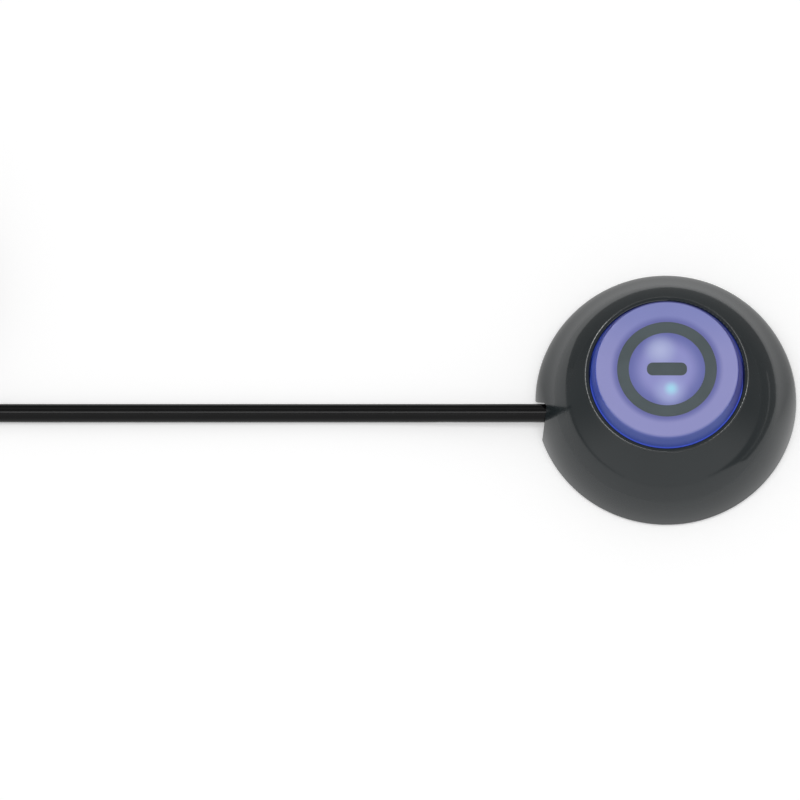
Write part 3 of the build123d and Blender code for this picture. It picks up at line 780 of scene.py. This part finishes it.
@dataclass
class Plug:
    """Three-pole round plug on the far end, lying on the coil and pointing to -X."""

    facets: int = 64
    boot_groove: float = 0.55 * MM
    boot_ribs: int = 6
    boot_taper: float = 0.7 * MM
    # Where a rib ends, its groove starts and stops, and the next rib's crest is reached, as shares of the pitch.
    rib_cut: tuple[float, float, float, float] = (0.30, 0.42, 0.78, 0.90)
    grip_groove: float = 0.35 * MM
    grip_rings: int = 5
    # Where the finger rings start and how far they reach, as shares of the body's length.
    rings_start: float = 0.14
    rings_reach: float = 0.5
    # Where a ring's groove starts and stops and the crest is reached again, as shares of the pitch.
    ring_cut: tuple[float, float, float] = (0.2, 0.5, 0.7)
    shoulder: float = 0.8 * MM
    rib_rounding: float = 0.12 * MM

    def turned(
        self, name: str, profile: list[tuple[float, float]], axis: tuple[float, float]
    ) -> bpy.types.Object:
        """Turn a closed round piece about a line along X by drawing it out step by step.

        Args:
            name: the piece.
            profile: (x, radius) from one end to the other.
            axis: the line's Y and Z.

        Returns:
            The new piece, smooth and closed.
        """
        nothing_selected()
        x, radius = profile[0]
        bpy.ops.mesh.primitive_circle_add(
            vertices=self.facets,
            radius=radius,
            fill_type="NGON",
            location=(x, *axis),
            rotation=(0.0, math.pi / 2, 0.0),
        )
        piece = bpy.context.object
        bpy.ops.object.transform_apply(location=True, rotation=True, scale=True)
        bpy.ops.object.mode_set(mode="EDIT")
        bpy.ops.mesh.select_all(action="SELECT")
        for next_x, next_radius in profile[1:]:
            bpy.ops.mesh.extrude_region_move(TRANSFORM_OT_translate={"value": (next_x - x, 0.0, 0.0)})
            ratio = next_radius / radius
            bpy.ops.transform.resize(value=(1.0, ratio, ratio), center_override=(next_x, *axis))
            x, radius = next_x, next_radius
        bpy.ops.mesh.select_all(action="SELECT")
        bpy.ops.mesh.remove_doubles(threshold=0.000001)
        bpy.ops.mesh.normals_make_consistent(inside=False)
        bpy.ops.object.mode_set(mode="OBJECT")
        piece.name = piece.data.name = name
        bevel = piece.modifiers.new("rounded_edges", "BEVEL")
        bevel.width = self.rib_rounding
        bevel.segments = 2
        bevel.angle_limit = math.radians(25)
        bpy.ops.object.modifier_apply(modifier=bevel.name)
        bpy.ops.object.shade_smooth_by_angle(angle=math.radians(40))
        return piece

    def boot(self) -> bpy.types.Object:
        """Ribbed strain relief that tapers towards the cord.

        Returns:
            The new piece.
        """
        low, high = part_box("plug_boot")
        middle = (low + high) / 2
        wide = (high.z - low.z) / 2
        narrow = wide - self.boot_taper
        length = high.x - low.x
        pitch = length / self.boot_ribs
        profile = [(high.x, narrow)]
        rib_end, groove_start, groove_stop, crest_again = self.rib_cut
        for rib in range(self.boot_ribs):
            start = high.x - rib * pitch
            crest = narrow + (wide - narrow) * (rib + 1) / self.boot_ribs
            on_taper = narrow + (wide - narrow) * (rib + rib_end) / self.boot_ribs
            profile.append((start - rib_end * pitch, on_taper))
            profile.append((start - groove_start * pitch, crest - self.boot_groove))
            profile.append((start - groove_stop * pitch, crest - self.boot_groove))
            profile.append((start - crest_again * pitch, crest))
        profile.append((low.x, wide))
        piece = self.turned("plug_strain_relief", profile, (middle.y, middle.z))
        piece.data.materials.append(PLUG_BLACK.material())
        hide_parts("plug_boot")
        return piece

    def grip(self) -> bpy.types.Object:
        """Body of the plug with finger rings round its back half.

        Returns:
            The new piece.
        """
        low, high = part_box("plug_body")
        middle = (low + high) / 2
        radius = (high.z - low.z) / 2
        length = high.x - low.x
        profile = [
            (high.x, radius - self.shoulder),
            (high.x - 0.25 * self.shoulder, radius - 0.3 * self.shoulder),
            (high.x - self.shoulder, radius),
        ]
        pitch = self.rings_reach * length / self.grip_rings
        start = high.x - self.rings_start * length
        groove_start, groove_stop, crest_again = self.ring_cut
        for ring in range(self.grip_rings):
            x = start - ring * pitch
            profile.append((x, radius))
            profile.append((x - groove_start * pitch, radius - self.grip_groove))
            profile.append((x - groove_stop * pitch, radius - self.grip_groove))
            profile.append((x - crest_again * pitch, radius))
        profile.append((low.x + 2 * self.shoulder, radius))
        profile.append((low.x + 0.4 * self.shoulder, radius - 0.5 * self.shoulder))
        profile.append((low.x, radius - 1.4 * self.shoulder))
        piece = self.turned("plug_grip", profile, (middle.y, middle.z))
        piece.data.materials.append(PLUG_BLACK.material())
        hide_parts("plug_body")
        return piece

    def build(self) -> list[object]:
        """Make the moulded pieces and dress the pin.

        Returns:
            Everything that goes with the cord: new pieces and CAD nodes.
        """
        made = [self.boot(), self.grip()]
        for piece in made:
            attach(piece, "housing")
            log.info("%s turned with %d faces", piece.name, len(piece.data.polygons))
        for name in ("plug_sleeve", "plug_ring", "plug_tip"):
            dress(name, PIN_NICKEL)
        dress("plug_insulators", PIN_BLACK)
        return [*made, "plug_sleeve", "plug_ring", "plug_tip", "plug_insulators"]


# Housing, button and works


@dataclass
class Housing:
    """Dome, base plate, feet and the screws that hold them."""

    def build(self) -> None:
        """Dress the housing's nodes."""
        dress("top_shell", HOUSING_GLOSS)
        dress("base_plate", BASE_MATT)
        dress("rubber_feet", FOOT_RUBBER)
        dress("housing_screws", SCREW_ZINC)
        dress("cord_clamp", BASE_MATT)
        dress("clamp_screws", SCREW_ZINC)
        dress("cord_tail", JACKET)


@dataclass
class Button:
    """The lit cap, its printed symbol and the carrier under it."""

    def build(self) -> None:
        """Dress the button's nodes."""
        dress("button_cap", LIT_LAVENDER)
        dress("symbol_ring", SYMBOL_GREY)
        dress("symbol_bar", SYMBOL_GREY)
        dress("button_carrier", CARRIER_WHITE)


@dataclass
class Works:
    """Board, latching switch, lamps, leads and the return spring."""

    travel: float = 2.5 * MM
    weld: float = 0.000002

    def spring(self) -> None:
        """Copy the spring as one joined mesh."""
        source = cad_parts["return_spring"]
        nothing_selected()
        copy = bpy.data.objects.new("return_spring_coil", source.data.copy())
        bpy.context.scene.collection.objects.link(copy)
        bpy.context.view_layer.objects.active = copy
        copy.select_set(True)
        bpy.ops.object.mode_set(mode="EDIT")
        bpy.ops.mesh.select_all(action="SELECT")
        bpy.ops.mesh.remove_doubles(threshold=self.weld)
        bpy.ops.mesh.normals_make_consistent(inside=False)
        bpy.ops.object.mode_set(mode="OBJECT")
        bpy.ops.object.shade_smooth_by_angle(angle=math.radians(40))
        copy.data.materials.clear()
        copy.data.materials.append(SPRING_STEEL.material())
        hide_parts("return_spring")
        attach(copy, "housing")
        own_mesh(copy)

    def build(self) -> None:
        """Dress the works' nodes and make the spring."""
        dress("circuit_board", BOARD_GREEN)
        dress("board_screws", SCREW_ZINC)
        dress("wire_socket", SOCKET_CREAM)
        dress("switch_body", SWITCH_BLACK)
        dress("switch_stem", STEM_WHITE)
        dress("switch_pins", CONTACT_TIN)
        dress("leds", LAMP_BLUE)
        dress("resistors", CHIP_BLACK)
        dress("lead_front", LEAD_BROWN)
        dress("lead_middle", LEAD_BLUE)
        dress("lead_back", LEAD_GREEN)
        self.spring()


# Studio


@dataclass
class Studio:
    """Camera, pale floor, soft light and surroundings."""

    camera_aim: Point = (-71.24 * MM, 0.28 * MM, 0.8 * MM)
    camera_back: Point = (0.0, -0.3156, 0.9489)
    camera_away: float = 6.0
    frame_width: float = 214.4 * MM
    floor_side: float = 8.0
    sky: float = 0.55
    mirrored_sky: float = 0.42
    mirrored_front: float = 0.95
    mirrored_back: float = 0.25
    band_glow: float = 7.5
    windows: tuple[Point, ...] = ((-0.542, 0.696, 0.47), (0.68, -0.08, 0.73))
    window_glow: float = 13.0
    window_edge: float = 0.984
    window_middle: float = 0.994
    band_front_lift: float = 0.35
    # The band's lower and upper ends by height, and how it dims toward the middle.
    band_low: tuple[float, float] = (0.45, 0.62)
    band_high: tuple[float, float] = (0.9, 0.76)
    band_beside: tuple[float, float, float, float] = (0.1, 0.6, 0.06, 1.0)
    # Where the mirrored sky turns to its back and its front level.
    back_turn: tuple[float, float] = (0.3, 0.85)
    front_turn: tuple[float, float] = (0.0, -0.7)
    floor_tone: float = 0.8
    floor_lift: float = 0.35
    # How far the white ground goes, by azimuth from +X in degrees.
    white_ends: tuple[tuple[float, float], ...] = (
        (-60.0, 1.0),
        (-35.0, 95 * MM),
        (0.0, 68 * MM),
        (90.0, 70 * MM),
        (140.0, 90 * MM),
        (180.0, 225 * MM),
        (215.0, 0.5),
        (240.0, 1.0),
    )
    # The near ground card carries painted shade: it glows dimmer close to the housing, except toward the front.
    shaded_near_ground: tuple[float, float] = (35.5 * MM, 62 * MM)
    near_glow: tuple[float, float] = (0.4, 1.1)
    near_front: tuple[float, float] = (10 * MM, -15 * MM)
    dark_glow: float = 0.34
    flag_reach: float = 3.0
    flag_height: float = 0.3 * MM
    flag_steps: int = 60
    strip_x: tuple[float, float] = (108 * MM, 116 * MM)
    strip_y: tuple[float, float] = (-110 * MM, 40 * MM)
    screen_x: float = -182 * MM
    screen_y: tuple[float, float] = (-0.5 * MM, 76 * MM)
    screen_z: tuple[float, float] = (0.3 * MM, 27 * MM)
    overhead_place: Point = (-0.05, -0.12, 1.1)
    overhead_aim: Point = (-0.05, 0.0, 0.0)
    overhead_size: tuple[float, float] = (1.2, 0.35)
    overhead_power: float = 4.3

    def camera(self) -> None:
        """Place a long lens above and in front of the switch."""
        data = bpy.data.cameras.new("camera")
        data.sensor_width = 36.0
        data.lens = data.sensor_width * self.camera_away / self.frame_width
        data.clip_end = 40.0
        camera = bpy.data.objects.new("camera", data)
        back = Vector(self.camera_back).normalized()
        camera.location = Vector(self.camera_aim) + back * self.camera_away
        camera.rotation_euler = back.to_track_quat("Z", "Y").to_euler()
        bpy.context.scene.collection.objects.link(camera)
        bpy.context.scene.camera = camera

    def world(self) -> None:
        """Soft even light from all round; what looks straight out sees white."""
        world = bpy.data.worlds.new("studio")
        world.use_nodes = True
        world.node_tree.nodes.clear()
        bench = Bench(world.node_tree)
        ray = bench.add("LightPath").outputs
        outward = bench.add("TexCoord").outputs["Generated"]
        looking = bench.add("SeparateXYZ", {0: outward}).outputs
        lean = bench.math("MULTIPLY", bench.math("MINIMUM", looking["Y"], 0.0), self.band_front_lift)
        height = bench.math("ADD", looking["Z"], lean)
        above, below = bench.fade(height, *self.band_low), bench.fade(looking["Z"], *self.band_high)
        band = bench.math("MULTIPLY", above, below)
        beside = bench.fade(bench.math("ABSOLUTE", looking["X"]), *self.band_beside)
        back = bench.fade(looking["Y"], *self.back_turn)
        side = bench.mix(back, grey(self.mirrored_sky), grey(self.mirrored_back))
        front = bench.fade(looking["Y"], *self.front_turn)
        plain = bench.mix(front, side, grey(self.mirrored_front))
        mirrored = bench.mix(bench.math("MULTIPLY", band, beside), plain, grey(self.band_glow))
        for window in self.windows:
            pair = {0: outward, 1: Vector(window).normalized()}
            facing = bench.add("VectorMath", pair, operation="DOT_PRODUCT").outputs["Value"]
            spot = bench.fade(facing, self.window_edge, self.window_middle)
            mirrored = bench.mix(spot, mirrored, grey(self.window_glow))
        strength = bench.mix(ray["Is Glossy Ray"], grey(self.sky), mirrored)
        colour = bench.mix(ray["Is Camera Ray"], strength, grey(1.0))
        background = bench.add("Background", {"Color": colour, "Strength": 1.0})
        bench.add("OutputWorld", {"Surface": background.outputs[0]})
        bpy.context.scene.world = world

    def floor(self) -> None:
        """Pale floor that keeps the shadow and still reads as white."""
        half = self.floor_side / 2
        mesh = bpy.data.meshes.new("floor")
        corners = [(-half, -half, 0.0), (half, -half, 0.0), (half, half, 0.0), (-half, half, 0.0)]
        mesh.from_pydata(corners, [], [(0, 1, 2, 3)])
        floor = bpy.data.objects.new("floor", mesh)
        bpy.context.scene.collection.objects.link(floor)
        material = bpy.data.materials.new("floor_pale")
        material.use_nodes = True
        material.node_tree.nodes.clear()
        bench = Bench(material.node_tree)
        ray = bench.add("LightPath").outputs
        seen = bench.math("MAXIMUM", ray["Is Camera Ray"], ray["Is Transmission Ray"])
        seen = bench.math("MAXIMUM", seen, ray["Is Glossy Ray"])
        inputs = {
            "Base Color": grey(self.floor_tone),
            "Roughness": 0.9,
            "Emission Color": bench.mix(seen, grey(0.0), grey(self.floor_lift)),
            "Emission Strength": 1.0,
            "Specular IOR Level": 0.0,
        }
        bench.add("OutputMaterial", {"Surface": bench.add("BsdfPrincipled", inputs).outputs[0]})
        mesh.materials.append(material)

    def card(self, name: str, corners: list[Point], faces: list[tuple[int, ...]], level: object) -> None:
        """Add a card that only mirrored light meets, glowing on its front and clear from behind.

        Args:
            name: the card.
            corners: its corners.
            faces: its faces.
            level: its glow, or the ranges of distance from the axis and of glow that it fades over.
        """
        mesh = bpy.data.meshes.new(name)
        mesh.from_pydata(corners, [], faces)
        card = bpy.data.objects.new(name, mesh)
        bpy.context.scene.collection.objects.link(card)
        material = bpy.data.materials.new(name)
        material.use_nodes = True
        material.node_tree.nodes.clear()
        bench = Bench(material.node_tree)
        if isinstance(level, tuple):
            # A faded glow paints shade: dimmer close to the axis, brighter toward the front.
            where = bench.place()
            away = bench.add("VectorMath", {0: where}, operation="LENGTH").outputs["Value"]
            along = bench.add("SeparateXYZ", {0: where}).outputs["Y"]
            front = bench.fade(along, *self.near_front, level[2], level[3])
            level = bench.math("MAXIMUM", bench.fade(away, *level), front)
        emission = bench.add("Emission", {"Color": grey(1.0), "Strength": level})
        behind = bench.add("NewGeometry").outputs["Backfacing"]
        clear = bench.add("BsdfTransparent")
        surface = bench.add("MixShader", {0: behind, 1: emission.outputs[0], 2: clear.outputs[0]})
        bench.add("OutputMaterial", {"Surface": surface.outputs[0]})
        mesh.materials.append(material)
        card.visible_camera = False
        card.visible_diffuse = False
        card.visible_shadow = False
        card.visible_transmission = False

    def flags(self) -> None:
        """Cards round the switch: a grey near ground with painted shade next to the housing, a dark far one, and
        a screen before the coil.
        """
        steps = self.flag_steps
        near: list[Point] = []
        far: list[Point] = []
        first, last = self.white_ends[0][0], self.white_ends[-1][0]
        for step in range(steps + 1):
            angle = first + (last - first) * step / steps
            stretches = zip(self.white_ends, self.white_ends[1:])
            before, after = next(pair for pair in stretches if angle <= pair[1][0])
            share = (angle - before[0]) / (after[0] - before[0])
            white_end = before[1] * (after[1] / before[1]) ** share
            turned = math.radians(angle)
            for reach in (white_end, self.flag_reach):
                far.append((reach * math.cos(turned), reach * math.sin(turned), self.flag_height))
            turned = 2 * math.pi * step / steps
            for reach in self.shaded_near_ground:
                near.append((reach * math.cos(turned), reach * math.sin(turned), self.flag_height / 2))
        faces = [(2 * i, 2 * i + 1, 2 * i + 3, 2 * i + 2) for i in range(steps)]
        self.card("shaded_near_ground", near, faces, (*self.shaded_near_ground, *self.near_glow))
        self.card("dark_ground", far, faces, self.dark_glow)
        (left, right), (front, back), high = self.strip_x, self.strip_y, 2 * self.flag_height
        strip = [(left, front, high), (right, front, high), (right, back, high), (left, back, high)]
        self.card("light_strip", strip, [(0, 1, 2, 3)], self.near_glow[1])
        x, (front, back), (low, high) = self.screen_x, self.screen_y, self.screen_z
        screen = [(x, front, low), (x, back, low), (x, back, high), (x, front, high)]
        self.card("coil_screen", screen, [(0, 1, 2, 3)], self.mirrored_sky)

    def lamp(self, name: str, place: Point, aim: Point, size: tuple[float, float], power: float) -> None:
        """Add one soft box.

        Args:
            name: the lamp.
            place: where it stands.
            aim: what it points at.
            size: its width and height.
            power: its power in watts.
        """
        data = bpy.data.lights.new(name, "AREA")
        data.shape = "RECTANGLE"
        data.size, data.size_y = size
        data.energy = power
        light = bpy.data.objects.new(name, data)
        light.location = place
        light.rotation_euler = (Vector(place) - Vector(aim)).to_track_quat("Z", "Y").to_euler()
        light.visible_camera = False
        bpy.context.scene.collection.objects.link(light)

    def build(self) -> None:
        """Set up the studio."""
        bpy.context.scene.view_settings.view_transform = "Standard"
        self.world()
        self.floor()
        self.flags()
        self.lamp(
            "overhead", self.overhead_place, self.overhead_aim, self.overhead_size, self.overhead_power
        )
        log.info("studio set")


def main() -> None:
    """Build the switch's looks and the studio."""
    logging.basicConfig(level=logging.INFO, format="%(name)s: %(message)s")
    studio = Studio()
    studio.camera()
    flex = Flex()
    cord = flex.build()
    on_cord = Plug().build()
    Housing().build()
    Button().build()
    Works().build()
    studio.build()


if __name__ == "__main__":
    main()
